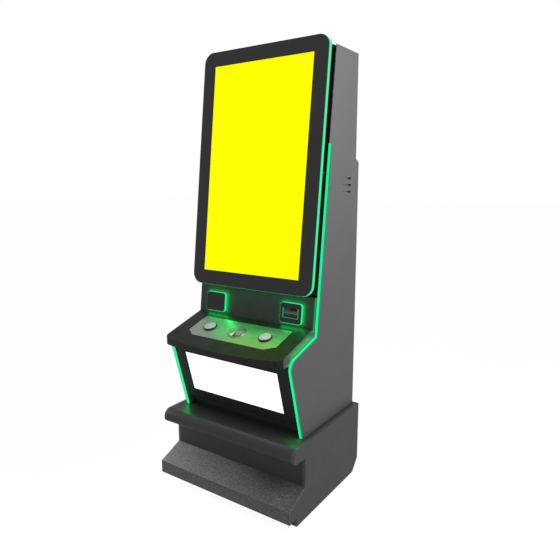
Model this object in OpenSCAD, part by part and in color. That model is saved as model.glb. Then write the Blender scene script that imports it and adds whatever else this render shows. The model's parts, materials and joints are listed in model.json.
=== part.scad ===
// Upright slot machine: a base with a footrest, a tall cabinet, a console with
// three buttons, a swing-out portrait display and a drop-down belly door.
// X runs to the player's right, the front faces -Y, Z is up, millimetres.
// The origin is on the floor under the centre of the machine.

/* [Display] */
// Width of the lit screen area
screen_w = 529.4; // [500:0.1:540]
// Height of the lit screen area
screen_h = 941.2; // [900:0.1:960]
// Width of the black surround at each side of the screen
border_side = 67.8; // [60:0.1:75]
// Width of the black surround above and below the screen
border_end = 66.9; // [60:0.1:75]
// Corner radius of the surround
display_r = 50; // [30:1:60]
// Lean of the display, the upper cabinet front and the mid panel
tilt = 6.9; // [6:0.1:7.5]
// Front lower edge of the display, distance in front of the centre
display_y = 85; // [80:1:90]
// Front lower edge of the display, height above the floor
display_z = 951.5; // [945:0.5:960]
// Depth of the display from the glass to its back plate
slab_t = 26; // [24:1:28]
// How far the light frame stands outside the surround
glow_proud = 1; // [0.5:0.5:3]

/* [Cabinet] */
// Outer width of the cabinet
cab_w = 675; // [672:1:678]
// Thickness of the cabinet and base side panels
panel_t = 15; // [12:1:16]
// Height of the top of the side panels
cab_top = 1983.5; // [1975:0.5:1990]
// Rear face of the lower cabinet and of the base
rear_y = 325.5; // [320:0.5:330]
// Rear face of the upper cabinet
upper_rear_y = 297; // [292:0.5:302]
// Height at which the rear steps forward
step_z = 1516; // [1500:1:1530]
// Distance from the display's glass back to the side panels' front edge
front_gap = 77.5; // [75:0.5:80]
// Height of the top end of the side light strips
strip_top = 1588; // [1570:1:1600]
// How far a side light strip stands in front of its panel
strip_proud = 4; // [3:0.5:6]
// How far the side panels' outer skin reaches forward above the light strips
lip_proud = 24; // [18:1:25]
// Forward lean of the belly door
belly_lean = 15.2; // [14.5:0.1:15.5]
// Front edge of the side panels where they meet the base
belly_y = 146.8; // [144:0.1:149]
// Slope of the side panels' edge below the console
shelf_slope = 16.4; // [15.5:0.1:17]
// Radius of the side panels' knee
knee_r = 40; // [30:1:45]
// Thickness of sheet metal parts
sheet_t = 3; // [2:0.5:3]

/* [Console] */
// Slope of the button deck
deck_slope = 17; // [16.5:0.1:17.5]
// Centre line of the buttons, distance in front of the centre
deck_y = 166; // [162:1:170]
// Height of the button deck at the centre line of the buttons
deck_z = 769.3; // [767:0.1:771]
// Half width of the console, inside the side panels
console_x = 322; // [321:0.1:322.2]
// Furthest point of the deck's bowed front edge
deck_front = 325.5; // [322:0.5:328]
// Radius of the deck's bowed front edge
bow_r = 1640; // [1500:10:1800]
// Flat underside of the deck
deck_under = 694; // [693:0.5:696]
// Distance of each small button from the centre
button_x = 156; // [150:1:160]
// Diameter of a small button's cap
button_d = 55; // [52:1:57]
// Diameter of the large centre button's cap
center_d = 80; // [74:1:84]
// Distance of each window from the centre
window_x = 214; // [210:1:216]
// Width of a window's face
window_w = 108; // [104:1:112]
// Height of a window's face
window_h = 88; // [84:1:90]

/* [Base] */
// Outer width of the base
base_w = 743.5; // [738:0.5:748]
// Height of the base
base_h = 348; // [345:1:351]
// Front of the recessed panel
recess_y = 180.6; // [178:0.1:183]
// Front of the rounded nose
nose_y = 275; // [272:1:277]
// Underside of the nose
nose_under = 282; // [280:1:286]
// Front face of the footrest
kick_y = 301; // [298:1:303]
// Upper edge of the footrest's front face
kick_top = 96.6; // [94:0.1:99]
// Lower edge of the footrest's front face
kick_bottom = 36.6; // [34:0.1:40]
// Height at which the footrest meets the recessed panel
slope_top = 148.5; // [146:0.1:151]
// Front lower edge of the base's side panels
side_front_y = 245.5; // [242:0.5:249]
// Height of the chamfer at the rear of the base
chamfer_h = 56; // [50:1:60]
// Run of the chamfer at the rear of the base
chamfer_run = 52; // [46:1:56]

/* [Hidden] */
$fn = 64;

side_x = cab_w / 2;
inner_x = side_x - panel_t;
base_x = base_w / 2;
base_inner_x = base_x - panel_t;
display_w = screen_w + 2 * border_side;
display_h = screen_h + 2 * border_end;
fit = 0.05;

// ---------------------------------------------------------------- outlines

function unit(v) = v / norm(v);

// Points of an arc of radius r that rounds the corner b between a and c.
function corner(a, b, c, r, steps = 10) =
    let (
        u = unit(a - b),
        v = unit(c - b),
        half = acos(u * v) / 2,
        centre = b + unit(u + v) * r / sin(half),
        first = b + u * r / tan(half) - centre,
        last = b + v * r / tan(half) - centre,
        start = atan2(first.y, first.x),
        turn = atan2(first.x * last.y - first.y * last.x, first * last)
    )
    r <= 0 ? [b] : [for (i = [0 : steps])
        centre + r * [cos(start + turn * i / steps), sin(start + turn * i / steps)]];

// An open path whose inner points are rounded by the matching radii.
function rounded_path(p, radii) = [
    for (i = [0 : len(p) - 1])
        for (q = (i == 0 || i == len(p) - 1) ? [p[i]]
            : corner(p[i - 1], p[i], p[i + 1], radii[i])) q
];

function reversed(p) = [for (i = [len(p) - 1 : -1 : 0]) p[i]];

// A folded sheet: the band between a path and the same path moved by its thickness.
module band(outer, inner) polygon(concat(outer, reversed(inner)));

module rounded_box(w, h, r) {
    square([w - 2 * r, h], center = true);
    square([w, h - 2 * r], center = true);
    for (sx = [-1, 1], sy = [-1, 1])
        translate([sx * (w / 2 - r), sy * (h / 2 - r)]) circle(r);
}

module rounded_ring(w, h, r, wall) {
    difference() {
        rounded_box(w, h, r);
        rounded_box(w - 2 * wall, h - 2 * wall, max(r - wall, 1));
    }
}

// ------------------------------------------------------- placing and drawing

// Extrudes a YZ outline to the right by t.
module across(t) rotate([90, 0, 90]) linear_extrude(t) children();

// Extrudes a YZ outline between both inner faces at +-x.
module spanning(x) translate([-x, 0, 0]) across(2 * x) children();

// Extrudes an XZ outline backwards by t.
module back(t) translate([0, t, 0]) rotate([90, 0, 0]) linear_extrude(t) children();

// The right side as drawn, or its mirror image on the left.
module on_side(side) mirror([side < 0 ? 1 : 0, 0, 0]) children();

// Display frame: X right, Y back into the machine, Z up along the glass.
module on_display() translate([0, -display_y, display_z]) rotate([-tilt, 0, 0]) children();

// Deck frame: origin between the buttons, Y up the slope, Z out of the deck.
module on_deck() translate([0, -deck_y, deck_z]) rotate([deck_slope, 0, 0]) children();

// Belly frame: origin on the door's lower front edge, Z up the door.
belly_z = 405;
module on_belly() translate([0, lower_front(belly_z, 0), belly_z])
    rotate([belly_lean, 0, 0]) children();

// ------------------------------------------------------ cabinet side outline

// Front edge of the side panels, moved forwards by d along its own normal.
function upper_front_y(z, d) =
    -display_y + (front_gap - d) / cos(tilt) + (z - display_z) * tan(tilt);
function lower_front(z, d) =
    -belly_y - (z - base_h) * tan(belly_lean) - d / cos(belly_lean);

shelf_y0 = -29.5;
shelf_z0 = 765.5;
function shelf_z(y, d) = shelf_z0 + (y - shelf_y0) * tan(shelf_slope) + d / cos(shelf_slope);

function knee(d) =
    let (y = (lower_front(shelf_z(0, d), d)) / (1 + tan(shelf_slope) * tan(belly_lean)))
    [y, shelf_z(y, d)];
function bend(d) =
    let (y = upper_front_y(shelf_z(0, d), d) / (1 - tan(shelf_slope) * tan(tilt)))
    [y, shelf_z(y, d)];

bend_r = 12;
function front_path(d, top) = rounded_path(
    [[lower_front(base_h, d), base_h], knee(d), bend(d), [upper_front_y(top, d), top]],
    [0, knee_r + d, bend_r - d, 0]);

step_rise = 16;
function cabinet_outline() = concat(
    front_path(0, cab_top),
    [[upper_rear_y, cab_top], [upper_rear_y, step_z + step_rise],
     [rear_y, step_z], [rear_y, base_h]]);

gill_pitch = 29.5;
gill_low_z = 1385;
gill_y = 165;
gill_length = 76;
gill_angle = 1.5;
gill_thin_r = 2;
gill_wide_r = 4.8;
vent_l = 20;
vent_h = 10;

// One air gill: a groove that widens and deepens towards a vent hole at its rear end.
module gill_cut() {
    translate([side_x + 1, gill_y, 0]) rotate([0, 0, gill_angle]) {
        rotate([-90, 0, 0]) cylinder(r1 = gill_thin_r, r2 = gill_wide_r, h = gill_length);
        translate([-2 * panel_t, gill_length, 0])
            across(3 * panel_t) rounded_box(vent_l, vent_h, vent_h / 2 - 0.1);
    }
}

// The outer skin of a side panel beside the upper part of the display.
lip_t = 3;
module side_lip() {
    translate([side_x - lip_t, 0, 0]) across(lip_t) polygon([
        [upper_front_y(strip_top, 0), strip_top], [upper_front_y(cab_top, 0), cab_top],
        [upper_front_y(cab_top, lip_proud), cab_top],
        [upper_front_y(strip_top, lip_proud), strip_top]]);
}

module cabinet_side(side) {
    color("dimgray") on_side(side) {
        difference() {
            translate([inner_x, 0, 0]) across(panel_t) polygon(cabinet_outline());
            for (i = [0 : 2]) translate([0, 0, gill_low_z + i * gill_pitch]) gill_cut();
        }
        side_lip();
    }
}

module side_light(side) {
    color("springgreen") on_side(side)
        translate([inner_x, 0, 0]) across(panel_t)
            band(front_path(strip_proud, strip_top), front_path(0, strip_top));
}

// ---------------------------------------------------------------------- base

slope_rise = (slope_top - kick_top) / (kick_y - recess_y);
function slope_z(y, d) = slope_top + (y + recess_y) * slope_rise - d * norm([1, slope_rise]);

nose_top_r = 36;
nose_low_r = 20;
function nose_path(d) = rounded_path(
    [[rear_y, base_h - d], [-nose_y + d, base_h - d],
     [-nose_y + d + 6, nose_under + 5 + d], [-recess_y, nose_under + d]],
    [0, nose_top_r - d, nose_low_r - d, 0]);

chamfer_y = rear_y - chamfer_run;
function base_outline() = concat(
    nose_path(0),
    [[-recess_y, slope_z(-recess_y, sheet_t)],
     [-kick_y + sheet_t, slope_z(-kick_y + sheet_t, sheet_t)], [-kick_y + sheet_t, kick_bottom],
     [-side_front_y, kick_bottom], [-side_front_y, 0], [chamfer_y, 0], [rear_y, chamfer_h]]);

module base_side(side) {
    color([0.32, 0.32, 0.33]) on_side(side)
        translate([base_inner_x, 0, 0]) across(panel_t) polygon(base_outline());
}

module base_top() {
    color([0.25, 0.25, 0.26]) difference() {
        spanning(base_inner_x) band(nose_path(0), nose_path(sheet_t));
        bolt_holes(base_h);
    }
}

module base_front() {
    color([0.17, 0.17, 0.18])
        translate([-base_inner_x, -recess_y, slope_top])
            cube([2 * base_inner_x, sheet_t, nose_under - slope_top]);
}

module base_back() {
    color([0.2, 0.2, 0.21]) spanning(base_inner_x)
        band([[rear_y, base_h - sheet_t], [rear_y, chamfer_h], [chamfer_y, 0]],
             [[rear_y - sheet_t, base_h - sheet_t], [rear_y - sheet_t, chamfer_h + 1.5],
              [chamfer_y - sheet_t, 0]]);
}

anchor_x = 250;
anchor_y = 150;
anchor_r = 7;
module base_floor() {
    color("dimgray") difference() {
        translate([-base_inner_x, -side_front_y + plinth_t, 0])
            cube([2 * base_inner_x, side_front_y - plinth_t + chamfer_y - sheet_t - 3, panel_t]);
        for (sx = [-1, 1], sy = [-1, 1])
            translate([sx * anchor_x, sy * anchor_y, -1]) cylinder(r = anchor_r, h = panel_t + 2);
    }
}

function kick_path(d) = [
    [-recess_y, slope_z(-recess_y, d)],
    [-kick_y + d, slope_z(-kick_y + d, d)],
    [-kick_y + d, kick_bottom]];

module footrest() {
    color([0.42, 0.41, 0.4]) spanning(base_x) band(kick_path(0), kick_path(sheet_t));
}

// A board between the base sides, set back under the footrest.
plinth_t = 6;
plinth_h = 100;
module plinth() {
    color([0.06, 0.06, 0.06])
        translate([-base_inner_x, -side_front_y, 0])
            cube([2 * base_inner_x, plinth_t, plinth_h]);
}

// Bolts that hold the cabinet down on the base.
bolt_x = 280;
bolt_y = [-100, 260];
module bolt_holes(z) {
    for (sx = [-1, 1], y = bolt_y)
        translate([sx * bolt_x, y, z - 10]) cylinder(r = 5, h = 40);
}
module cabinet_bolts() {
    color("silver") for (sx = [-1, 1], y = bolt_y) translate([sx * bolt_x, y, 0]) {
        translate([0, 0, base_h - 20]) cylinder(r = 4.9, h = 20 + panel_t);
        translate([0, 0, base_h + panel_t]) cylinder(r = 9, h = 6, $fn = 6);
        translate([0, 0, base_h - sheet_t - 8]) cylinder(r = 9, h = 8, $fn = 6);
    }
}

// ------------------------------------------------------------- cabinet boards

module cabinet_floor() {
    color("dimgray") difference() {
        translate([-inner_x, -belly_y + 32, base_h])
            cube([2 * inner_x, belly_y - 32 + rear_y - sheet_t - 22, panel_t]);
        bolt_holes(base_h);
    }
}

module cabinet_top() {
    color("dimgray")
        translate([-inner_x, upper_front_y(cab_top, lip_proud), cab_top - panel_t])
            cube([2 * inner_x, upper_rear_y - sheet_t - upper_front_y(cab_top, lip_proud), panel_t]);
}

fascia_y = front_gap + 6;
fascia_low = 2;
fascia_h = (cab_top - panel_t - display_z) / cos(tilt) + fascia_y * tan(tilt);
module upper_front() {
    color([0.12, 0.12, 0.13]) on_display()
        translate([-inner_x, fascia_y, fascia_low])
            cube([2 * inner_x, sheet_t, fascia_h - fascia_low]);
}

fan_x = 150;
fan_z = 1700;
fan_r = 56;
module upper_back() {
    color("dimgray") difference() {
        spanning(inner_x)
            band([[upper_rear_y, cab_top], [upper_rear_y, step_z + step_rise],
                  [rear_y, step_z], [rear_y, step_z - 30]],
                 [[upper_rear_y - sheet_t, cab_top],
                  [upper_rear_y - sheet_t, step_z + step_rise - 2],
                  [rear_y - sheet_t, step_z - 2], [rear_y - sheet_t, step_z - 30]]);
        for (ring = [0 : 3], i = [0 : ring == 0 ? 0 : ring * 6 - 1])
            translate([fan_x, 0, fan_z])
                rotate([0, i * 360 / max(ring * 6, 1), 0])
                    translate([ring * 15, upper_rear_y + 1, 0])
                        rotate([90, 0, 0]) cylinder(r = 5, h = sheet_t + 2, $fn = 24);
    }
}

door_low = 476;
door_high = step_z - 36;
module lower_back() {
    color("dimgray") difference() {
        translate([-inner_x, rear_y - sheet_t, base_h])
            cube([2 * inner_x, sheet_t, door_low - 4 - base_h]);
        translate([-200, rear_y + 1, 410]) rotate([90, 0, 0])
            linear_extrude(sheet_t + 2) square([48, 28], center = true);
    }
}

module toe_panel() {
    color([0.08, 0.08, 0.08]) on_belly()
        translate([-inner_x, 28, -(belly_z - base_h) / cos(belly_lean) + 10])
            cube([2 * inner_x, sheet_t, 50]);
}

shelf_board_z = 1000;
module inner_shelf() {
    color("gray")
        translate([-inner_x, 40, shelf_board_z])
            cube([2 * inner_x, 210, panel_t]);
}

// ------------------------------------------------------------------- console

deck_back = 51;
corner_r = 26;

// Plan of the deck, bowed at the front, its two front corners rounded off.
module deck_plan(inset) {
    cx = console_x - corner_r;
    cy = -(deck_front - (bow_r - sqrt(bow_r * bow_r - cx * cx))) + corner_r + 2;
    difference() {
        intersection() {
            translate([0, bow_r - deck_front]) circle(bow_r - inset, $fn = 256);
            translate([-(console_x - inset), -deck_front - 5])
                square([2 * (console_x - inset), deck_front + 5 - deck_back]);
        }
        for (s = [-1, 1]) mirror([s < 0 ? 1 : 0, 0]) difference() {
            translate([cx, cy - 2 * corner_r]) square([2 * corner_r, 2 * corner_r]);
            translate([cx, cy]) circle(corner_r - inset);
        }
    }
}

// Everything below the sloping deck plane, lowered by d.
module below_deck(d) {
    on_deck() translate([-500, -600, -400 - d]) cube([1000, 1200, 400]);
}

deck_wall = 4;
plate_half = 245;
plate_front_half = 199;
plate_back = 80;
plate_side = -48;
module plate_plan(grow) {
    polygon([
        [-plate_half - grow, plate_back + grow], [plate_half + grow, plate_back + grow],
        [plate_half + grow, plate_side], [plate_front_half, -plate_back - grow],
        [-plate_front_half, -plate_back - grow], [-plate_half - grow, plate_side]]);
}

barrel_r = 22;
center_barrel_r = 31;
module button_places() {
    for (x = [-button_x, button_x]) translate([x, 0, 0]) children();
}

speaker_x = 205;
speaker_y = 256;
speaker_r = 30;
module speaker_places() {
    for (x = [-speaker_x, speaker_x]) translate([x, -speaker_y, 0]) children();
}

module deck_shell() {
    color([0.13, 0.13, 0.14]) difference() {
        union() {
            intersection() {
                translate([0, 0, deck_under]) linear_extrude(140) deck_plan(0);
                below_deck(0);
            }
            translate([-console_x, -deck_back, deck_under])
                cube([2 * console_x, 17, 108]);
        }
        intersection() {
            translate([0, 0, deck_under + deck_wall]) linear_extrude(140)
                deck_plan(deck_wall);
            below_deck(deck_wall);
        }
        on_deck() {
            translate([0, 0, -1.5]) linear_extrude(4) plate_plan(0.3);
            button_places() translate([0, 0, -20]) cylinder(r = barrel_r + 0.3, h = 25);
            translate([0, 0, -20]) cylinder(r = center_barrel_r + 0.3, h = 25);
        }
        speaker_places() for (i = [0 : 11])
            rotate([0, 0, i * 30])
                translate([i % 2 == 0 ? 8 : 18, 0, deck_under - 1])
                    cylinder(r = 2.5, h = deck_wall + 2, $fn = 24);
    }
}

module deck_plate() {
    color("silver") on_deck() difference() {
        translate([0, 0, -1.5]) linear_extrude(2) plate_plan(0);
        button_places() translate([0, 0, -5]) cylinder(r = barrel_r + 0.3, h = 10);
        translate([0, 0, -5]) cylinder(r = center_barrel_r + 0.3, h = 10);
    }
}

plate_top = 0.5;

// A flanged ring with a barrel that guides the cap's stem.
module guide_ring(flange_r, cap_r, barrel, stem, rim_z) {
    rotate_extrude() polygon([
        [stem + fit, -34], [barrel, -34], [barrel, plate_top], [flange_r, plate_top],
        [flange_r, rim_z - 1.5], [flange_r - 1.5, rim_z], [cap_r + 0.5, rim_z],
        [cap_r + 0.5, plate_top + 1], [stem + fit, plate_top + 1]]);
}

button_stem = 18;
center_stem = 26;
module button_rings() {
    color([0.07, 0.07, 0.07]) on_deck() button_places()
        guide_ring(button_d / 2 + 4, button_d / 2, barrel_r, button_stem, 7);
}

module center_ring() {
    color([0.55, 0.55, 0.56]) on_deck()
        guide_ring(center_d / 2 + 3.5, center_d / 2, center_barrel_r, center_stem, 4);
}

module button_cap(x) {
    color([0.85, 0.9, 0.82]) on_deck() translate([x, 0, 0]) rotate_extrude() polygon([
        [0, -30], [button_stem, -30], [button_stem, 5], [button_d / 2, 5],
        [button_d / 2, 8], [button_d / 2 - 1.5, 9.2], [0, 9.6]]);
}

module button_cap_center() {
    color([0.8, 0.82, 0.8]) on_deck() rotate_extrude() polygon([
        [0, -30], [center_stem, -30], [center_stem, 5], [center_d / 2, 5],
        [center_d / 2, 6.5], [center_d / 2 - 1.5, 7.5], [center_d / 4, 9], [0, 9.5]]);
}

// A switch under a guide ring, its plunger just short of the pressed stem.
module switch_block(half_w) {
    translate([-half_w, -6, -48]) cube([2 * half_w, 12, 14]);
    translate([-2, -2, -34]) cube([4, 4, 0.7]);
}
module button_switches() {
    color([0.1, 0.1, 0.12]) on_deck() {
        button_places() switch_block(barrel_r);
        switch_block(center_barrel_r);
    }
}

module speakers() {
    color([0.15, 0.15, 0.16]) speaker_places()
        translate([0, 0, deck_under + deck_wall]) rotate_extrude() polygon([
            [0, 8], [10, 8], [24, 1], [24, 0], [speaker_r, 0], [speaker_r, 3],
            [14, 10], [14, 20], [0, 20]]);
}

mid_y = 51.5;
mid_top = -5;
mid_low = -142;
console_t = 4;
window_mid = -84;
window_cut_w = 92;
window_cut_h = 70;
module mid_panel() {
    color([0.14, 0.15, 0.15]) on_display() difference() {
        translate([-console_x, mid_y, mid_low])
            cube([2 * console_x, fascia_y - mid_y + sheet_t, mid_top - mid_low]);
        translate([-console_x + console_t, mid_y + console_t, mid_low - 1])
            cube([2 * (console_x - console_t), 60, mid_top - mid_low - console_t + 1]);
        for (x = [-window_x, window_x])
            translate([x - window_cut_w / 2, mid_y - 1, window_mid - window_cut_h / 2])
                cube([window_cut_w, console_t + 2, window_cut_h]);
    }
}

window_y = 37.5;
window_face = 2.5;
window_r = 11;
window_wall = 5;
module window_light(x) {
    color("springgreen") on_display()
        translate([x, window_y + window_face, window_mid]) back(mid_y - window_y - window_face)
            rounded_ring(window_w + 4, window_h + 4, window_r + 2, window_wall);
}
module window_body(x) {
    on_display() translate([x, window_y, window_mid]) {
        back(window_face) rounded_box(window_w, window_h, window_r);
        translate([0, window_face, 0]) back(mid_y - window_y - window_face)
            rounded_box(window_w - 7, window_h - 7, window_r - 4);
    }
}

module info_window() {
    color([0.17, 0.17, 0.18]) {
        window_body(-window_x);
        on_display() translate([-window_x - 44, mid_y, window_mid - 33]) cube([88, 38, 66]);
    }
}

mouth_w = 82;
mouth_bar = 4;
mouth_top = -62;
mouth_low = -106;
slot_w = 72;
slot_low = -79;
slot_high = -67;

// The slanted mouth that leads a note up into the slot, and the slot behind it.
module mouth_cut() {
    on_display() {
        translate([window_x - slot_w / 2, 0, 0]) across(slot_w)
            polygon([[window_y - 1, mouth_low + mouth_bar + 1], [mid_y - 2, slot_low],
                     [mid_y + 80, slot_low], [mid_y + 80, slot_high],
                     [window_y - 1, slot_high + 3]]);
    }
}
module mouth_outline() {
    for (s = [-1, 1]) translate([s * (mouth_w - mouth_bar) / 2, (mouth_top + mouth_low) / 2])
        square([mouth_bar, mouth_top - mouth_low], center = true);
    translate([0, mouth_low + 1.5]) square([mouth_w, 3], center = true);
}

module bill_bezel() {
    color([0.17, 0.17, 0.18]) difference() {
        window_body(window_x);
        mouth_cut();
        on_display() translate([window_x, window_y - 1, 0]) back(3) mouth_outline();
    }
}
module bill_mouth_light() {
    color("springgreen") on_display()
        translate([window_x, window_y - 1.5, 0]) back(3.5) mouth_outline();
}

module bill_validator() {
    color([0.1, 0.1, 0.1]) difference() {
        on_display() translate([window_x - 45, mid_y + 0.2, window_mid - 33]) cube([90, 130, 66]);
        mouth_cut();
    }
}

module cash_box() {
    color([0.3, 0.3, 0.32]) {
        translate([window_x - 48, 22, 470]) cube([96, 118, 336]);
        translate([window_x - 30, 10, 600]) cube([60, 12, 24]);
    }
}

// --------------------------------------------------------------- belly door

belly_h = 288;
belly_half = 319;
belly_t = 20;
lit_half = 259;
lit_low = 47.5;
lit_high = 252;
belly_pivot_y = 14;
belly_pivot_z = -8;
belly_hinge_x = [-240, 240];

module lit_outline(grow) {
    translate([-lit_half - grow, lit_low - grow])
        square([2 * (lit_half + grow), lit_high - lit_low + 2 * grow]);
}

module belly_frame() {
    color([0.1, 0.1, 0.11]) on_belly() {
        difference() {
            translate([-belly_half, 0, 0]) cube([2 * belly_half, belly_t, belly_h]);
            translate([0, -1, 0]) back(belly_t + 2) lit_outline(0);
            translate([0, 3, 0]) back(belly_t) lit_outline(8);
        }
        for (x = belly_hinge_x) difference() {
            union() {
                translate([x - 20, belly_pivot_y, belly_pivot_z]) rotate([0, 90, 0])
                    cylinder(r = 6, h = 40);
                translate([x - 20, belly_pivot_y - 6, belly_pivot_z]) cube([40, 12, 8]);
            }
            translate([x - 21, belly_pivot_y, belly_pivot_z]) rotate([0, 90, 0])
                cylinder(r = 3 + fit, h = 42);
        }
    }
}
module belly_panel() {
    color("white") on_belly() {
        translate([0, 0.8, 0]) back(2.2) lit_outline(-0.2);
        translate([0, 3, 0]) back(3) lit_outline(7.5);
    }
}
module belly_backlight() {
    color("silver") on_belly() translate([0, 6, 0]) back(10) lit_outline(7.5);
}
module belly_pins() {
    color("silver") on_belly() for (x = belly_hinge_x)
        translate([x - 28, belly_pivot_y, belly_pivot_z]) rotate([0, 90, 0])
            cylinder(r = 3, h = 56);
}
module belly_hinges() {
    color("gray") on_belly() for (x = belly_hinge_x) difference() {
        for (s = [-1, 1]) translate([x + s * 24.5 - 3.5, belly_pivot_y, belly_pivot_z]) {
            rotate([0, 90, 0]) cylinder(r = 6, h = 7);
            translate([0, 0, -6]) cube([7, 28 - belly_pivot_y, 12]);
        }
        translate([x - 40, belly_pivot_y, belly_pivot_z]) rotate([0, 90, 0])
            cylinder(r = 3 + fit, h = 80);
    }
}

// A turning latch: a round body with a flat cam that hangs down when released.
module cam_latch(body_r, body_l, cam_l, cam_w, cam_t) {
    rotate([-90, 0, 0]) cylinder(r = body_r, h = body_l);
    translate([0, body_l, 0]) rotate([-90, 0, 0]) cylinder(r = cam_w / 2, h = cam_t);
    translate([-cam_w / 2, body_l, -cam_l]) cube([cam_w, cam_t, cam_l]);
}
belly_latch_x = 288;
belly_latch_z = 268;
module belly_latch() {
    color("silver") on_belly()
        translate([belly_latch_x, belly_t, belly_latch_z]) cam_latch(8, 8, 26, 12, 3);
}

// ---------------------------------------------------------------- rear door

door_half = 318;
door_pin_x = -308;
door_pin_y = rear_y - 9;
door_pin_r = 4;
rear_lock_x = 285;
rear_lock_z = 980;
rear_face = rear_y - 1;

module rear_door() {
    color("dimgray") difference() {
        union() {
            translate([-door_half, rear_face - sheet_t, door_low])
                cube([2 * door_half, sheet_t, door_high - door_low]);
            for (x = [-door_half, door_half - 2])
                translate([x, rear_face - 10, door_low]) cube([2, 8, door_high - door_low]);
            for (z = [door_low, door_high - 12])
                translate([door_pin_x - 9, rear_face - 18, z]) cube([18, 16, 12]);
        }
        translate([door_pin_x, door_pin_y, door_low - 1])
            cylinder(r = door_pin_r + fit, h = door_high - door_low + 2);
        translate([rear_lock_x, rear_face + 1, rear_lock_z]) rotate([90, 0, 0])
            cylinder(r = 9.5, h = sheet_t + 2);
        for (z0 = [door_low + 60, door_high - 160], i = [0 : 5], x = [-130, 130])
            translate([x, rear_face + 1, z0 + i * 18]) rotate([90, 0, 0])
                linear_extrude(sheet_t + 2) rounded_box(200, 7, 3.4);
    }
}
module rear_door_pins() {
    color("silver") {
        translate([door_pin_x, door_pin_y, door_low - 12])
            cylinder(r = door_pin_r, h = 22);
        translate([door_pin_x, door_pin_y, door_high - 10])
            cylinder(r = door_pin_r, h = 22);
        translate([-inner_x, door_pin_y - 7, door_low - 12]) cube([24, 13, 6]);
        translate([-inner_x, door_pin_y - 7, door_high + 6]) cube([24, 13, 6]);
    }
}
// Angle pieces on the right side panel that the two turning latches catch behind.
module latch_strikes() {
    color("silver") {
        on_belly() translate([306, belly_t + 2, belly_latch_z - 6])
            cube([inner_x - 306, 5, 12]);
        translate([306, rear_face - 18, rear_lock_z - 7]) cube([inner_x - 306, 5, 14]);
    }
}
module rear_lock() {
    color("silver") translate([rear_lock_x, rear_face + 0.5, rear_lock_z])
        mirror([0, 1, 0]) cam_latch(9, 20, 34, 14, 3);
}

// -------------------------------------------------------------- inner pieces

module logic_box() {
    color("silver") difference() {
        translate([-290, 60, shelf_board_z + panel_t]) cube([300, 170, 110]);
        translate([-288, 62, shelf_board_z + panel_t - 1]) cube([296, 166, 109]);
        for (i = [0 : 7])
            translate([-270 + i * 34, 231, shelf_board_z + panel_t + 30])
                rotate([90, 0, 0]) linear_extrude(6) rounded_box(8, 40, 3.9);
    }
}
module power_supply() {
    color("gray") translate([-280, 60, base_h + panel_t]) difference() {
        cube([170, 180, 90]);
        translate([2, 2, -1]) cube([166, 176, 89]);
    }
}
module power_inlet() {
    color([0.1, 0.1, 0.1]) difference() {
        union() {
            translate([-200, rear_y - 1, 410]) rotate([90, 0, 0])
                linear_extrude(26) square([47.6, 27.6], center = true);
            translate([-200, rear_y - sheet_t, 410]) rotate([90, 0, 0])
                linear_extrude(2) square([56, 36], center = true);
        }
        translate([-200, rear_y + 1, 410]) rotate([90, 0, 0])
            linear_extrude(18) square([26, 20], center = true);
    }
}
module fan_frame() {
    color([0.12, 0.12, 0.12]) translate([fan_x, upper_rear_y - sheet_t - 25, fan_z]) difference() {
        back(25) rounded_box(120, 120, 6);
        translate([0, 6, 0]) rotate([-90, 0, 0]) cylinder(r = fan_r + 1, h = 20);
        for (i = [0 : 3]) rotate([0, i * 90 + 45, 0])
            translate([34, -1, 0]) rotate([-90, 0, 0]) cylinder(r = 17, h = 8);
    }
}
module fan_rotor() {
    color([0.2, 0.2, 0.2]) translate([fan_x, upper_rear_y - sheet_t - 17, fan_z]) {
        rotate([-90, 0, 0]) cylinder(r = 20, h = 14);
        for (i = [0 : 6]) rotate([0, i * 360 / 7, 0])
            translate([18, 12, -11]) rotate([28, 0, 0]) cube([fan_r - 20, 2, 22]);
    }
}

// ------------------------------------------------------------------- display

module display_bezel() {
    color([0.13, 0.13, 0.14]) on_display() translate([0, 0, display_h / 2]) back(4)
        difference() {
            rounded_box(display_w, display_h, display_r);
            square([screen_w, screen_h], center = true);
        }
}
module screen_panel() {
    color([1, 1, 0]) on_display() translate([0, 0, display_h / 2]) {
        translate([0, 1, 0]) back(3) square([screen_w - 0.2, screen_h - 0.2], center = true);
        translate([0, 4, 0]) back(14) square([screen_w + 24, screen_h + 24], center = true);
    }
}
light_wall = 12;
light_back = 20;
module display_light() {
    color("springgreen") on_display() translate([0, 4, display_h / 2]) back(light_back - 4)
        rounded_ring(display_w + 2 * glow_proud, display_h + 2 * glow_proud,
                     display_r + glow_proud, light_wall);
}

housing_half = 285;
housing_low = 60;
housing_high = display_h - 60;
housing_back = front_gap;
module display_housing() {
    color([0.1, 0.1, 0.1]) on_display() difference() {
        union() {
            translate([0, slab_t, display_h / 2]) back(sheet_t)
                rounded_box(display_w - 24, display_h - 24, display_r - 10);
            translate([0, light_back, display_h / 2]) back(slab_t - light_back)
                rounded_ring(display_w, display_h, display_r, 16);
            translate([-housing_half, slab_t, housing_low])
                cube([2 * housing_half, housing_back - slab_t, housing_high - housing_low]);
            translate([housing_half - 4, 69, keeper_z - 9]) cube([15, 4, 18]);
        }
        translate([-housing_half + sheet_t, slab_t - 1, housing_low + sheet_t])
            cube([2 * (housing_half - sheet_t), housing_back - slab_t - sheet_t + 1,
                  housing_high - housing_low - 2 * sheet_t]);
        for (x = [-180, 0, 180], i = [0 : 5])
            translate([x, housing_back + 1, housing_high - 80 - i * 16])
                rotate([90, 0, 0]) linear_extrude(sheet_t + 2) rounded_box(120, 6, 2.9);
    }
}

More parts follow.
